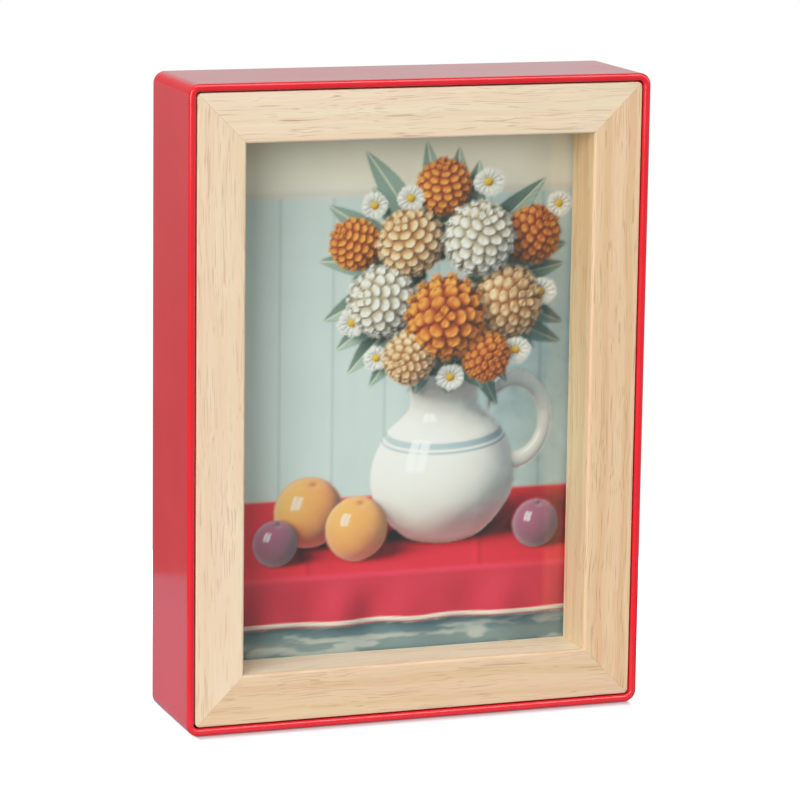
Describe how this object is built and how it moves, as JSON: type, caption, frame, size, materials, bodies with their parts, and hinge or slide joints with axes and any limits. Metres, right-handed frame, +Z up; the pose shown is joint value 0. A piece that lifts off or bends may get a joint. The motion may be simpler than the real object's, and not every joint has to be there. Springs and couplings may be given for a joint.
{
  "type": "box photo frame",
  "caption": "Deep free-standing box frame: a mitred wooden frame and glazed print set in a rounded red metal band, loaded from the open back and held by turn buttons.",
  "frame": {"origin": "middle of the underside, at the height of the surface that the frame stands on", "axes": "+X to the right seen from the front, -Y out of the face towards the viewer, +Y to the open back, +Z up"},
  "size_m": [0.151, 0.04, 0.2034],
  "materials": {
    "red_coat": "smooth gloss red coating on steel sheet",
    "pale_wood": "pale open-grained hardwood, sanded and clear matt varnished",
    "clear_glass": "clear float glass",
    "photo_paper": "resin-coated photographic paper with a semi-gloss print",
    "hardboard": "brown hardboard, smooth on the back",
    "zinc_steel": "bright zinc plate",
    "nail_steel": "plain blued spring steel"
  },
  "bodies": {
    "frame": {"case_band": "red_coat", "corner_bracket_top_left": "red_coat", "corner_bracket_top_right": "red_coat", "corner_bracket_bottom_left": "red_coat", "corner_bracket_bottom_right": "red_coat", "bracket_screws_top_left": "zinc_steel", "bracket_screws_top_right": "zinc_steel", "bracket_screws_bottom_left": "zinc_steel", "bracket_screws_bottom_right": "zinc_steel", "frame_rail_top": "pale_wood", "frame_rail_bottom": "pale_wood", "frame_stile_left": "pale_wood", "frame_stile_right": "pale_wood", "corner_nail_top_left": "nail_steel", "corner_nail_top_right": "nail_steel", "corner_nail_bottom_left": "nail_steel", "corner_nail_bottom_right": "nail_steel", "glass_pane": "clear_glass", "photo_print": "photo_paper", "backing_board": "hardboard", "turn_button_screws": "zinc_steel"},
    "turn_button_upper_left": {"turn_button_upper_left": "zinc_steel"},
    "turn_button_upper_right": {"turn_button_upper_right": "zinc_steel"},
    "turn_button_lower_left": {"turn_button_lower_left": "zinc_steel"},
    "turn_button_lower_right": {"turn_button_lower_right": "zinc_steel"}
  },
  "joints": [
    {"name": "turn_button_upper_left_swivel", "type": "hinge", "parent": "frame", "child": "turn_button_upper_left", "pos_m": [-0.0683, 0.0039, 0.1462], "axis": [0, 1, 0], "range_deg": [-107, 107]},
    {"name": "turn_button_upper_right_swivel", "type": "hinge", "parent": "frame", "child": "turn_button_upper_right", "pos_m": [0.0683, 0.0039, 0.1462], "axis": [0, 1, 0], "range_deg": [-107, 107]},
    {"name": "turn_button_lower_left_swivel", "type": "hinge", "parent": "frame", "child": "turn_button_lower_left", "pos_m": [-0.0683, 0.0039, 0.0572], "axis": [0, 1, 0], "range_deg": [-107, 107]},
    {"name": "turn_button_lower_right_swivel", "type": "hinge", "parent": "frame", "child": "turn_button_lower_right", "pos_m": [0.0683, 0.0039, 0.0572], "axis": [0, 1, 0], "range_deg": [-107, 107]}
  ]
}
